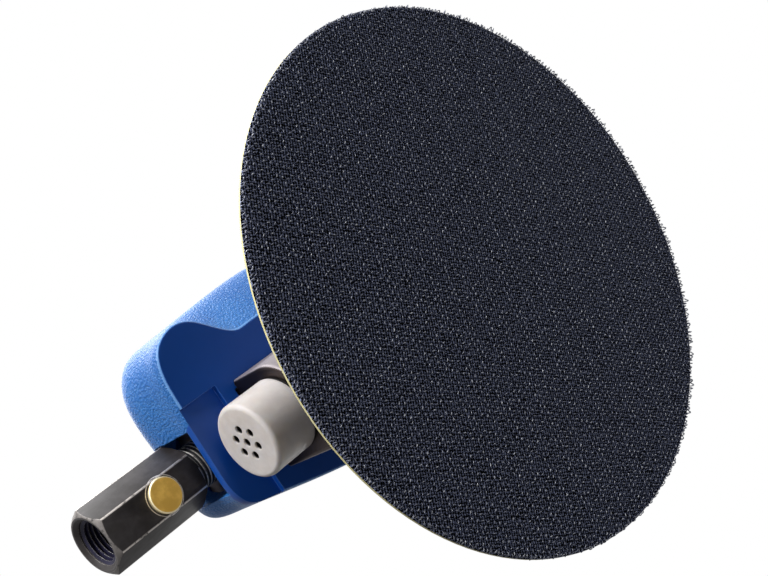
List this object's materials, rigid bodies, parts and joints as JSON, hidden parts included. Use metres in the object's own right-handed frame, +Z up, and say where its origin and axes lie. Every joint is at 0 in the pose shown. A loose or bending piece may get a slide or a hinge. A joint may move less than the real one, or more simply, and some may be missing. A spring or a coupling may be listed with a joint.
{
  "type": "pneumatic random orbital sander",
  "caption": "Palm-grip air sander with a round hook-and-loop pad on an eccentric spindle, moulded grip shell, throttle lever, rear exhaust muffler and hexagonal air inlet.",
  "frame": {"origin": "on the motor axis, in the plane of the pad face that the tool stands on", "axes": "+Z up along the motor axis, away from the pad; -X towards the air inlet and muffler; +Y completes a right-handed frame"},
  "size_m": [0.1734, 0.15, 0.1047],
  "materials": {
    "shell_blue": "leather-grained moulding",
    "casting": "fine blasted casting",
    "muffler_grey": "satin moulding",
    "black_oxide": "black oxide with worn edges",
    "brass": "turned",
    "hook_fabric": "woven hook tape",
    "film_gold": "bond film",
    "foam": "closed-cell skin",
    "plate": "fibre-filled moulding",
    "steel": "ground",
    "spring_steel": "drawn",
    "vane": "phenolic laminate",
    "seal": "moulded",
    "felt": "pressed felt",
    "lever_black": "moulded"
  },
  "bodies": {
    "housing": {"grip_shell": "shell_blue", "motor_casting": "casting", "lock_ring": "steel", "lower_end_plate": "steel", "cylinder_liner": "steel", "upper_end_plate": "steel", "liner_dowel": "steel", "preload_washer": "spring_steel", "lower_bearing_outer": "steel", "upper_bearing_outer": "steel", "inlet_bushing": "black_oxide", "inlet_screen": "brass", "muffler_body": "muffler_grey", "muffler_felt": "felt", "muffler_gasket": "seal", "valve_seat": "brass", "valve_guide": "brass", "guide_seal": "seal", "valve_spring": "spring_steel", "lever_pin": "steel", "shell_screws": "steel"},
    "motor_rotor": {"balancer_shaft": "steel", "rotor": "steel", "rotor_vanes": "vane", "rotor_key": "steel", "lower_bearing_inner": "steel", "lower_bearing_balls": "steel", "upper_bearing_inner": "steel", "upper_bearing_balls": "steel", "spindle_bearing_outer": "steel", "bearing_clip": "spring_steel"},
    "pad_assembly": {"pad_spindle": "steel", "spindle_clip": "spring_steel", "spindle_bearing_inner": "steel", "spindle_bearing_balls": "steel", "dust_washer": "felt", "pad_stud": "steel", "pad_backing_plate": "plate", "pad_foam": "foam", "pad_film": "film_gold", "hook_face": "hook_fabric"},
    "lever": {"throttle_lever": "lever_black"},
    "valve": {"valve_stem": "brass", "valve_seal": "seal"},
    "regulator": {"regulator_spindle": "brass", "regulator_seals": "seal", "regulator_clip": "spring_steel"}
  },
  "joints": [
    {"name": "motor_spin", "type": "hinge", "parent": "housing", "child": "motor_rotor", "pos_m": [0, 0, 0.063], "axis": [0, 0, 1], "continuous": true},
    {"name": "pad_spin", "type": "hinge", "parent": "motor_rotor", "child": "pad_assembly", "pos_m": [0.00132, -0.00212, 0.028], "axis": [0, 0, 1], "continuous": true},
    {"name": "lever_press", "type": "hinge", "parent": "housing", "child": "lever", "pos_m": [-0.042, 0, 0.0925], "axis": [0, 1, 0], "range_deg": [0, 5.5], "stiffness_Nm_per_rad": 1.5, "springref_deg": -4.58},
    {"name": "valve_slide", "type": "slide", "parent": "housing", "child": "valve", "axis": [0, 0, -1], "range_m": [0, 0.00145], "deforming": ["valve_spring"]},
    {"name": "regulator_turn", "type": "hinge", "parent": "housing", "child": "regulator", "pos_m": [-0.0779, 0, 0.0736], "axis": [0, 0, 1], "range_deg": [0, 90]}
  ],
  "couplings": [
    {"joint": "valve_slide", "follows": "lever_press", "m_per_rad": 0.015}
  ]
}
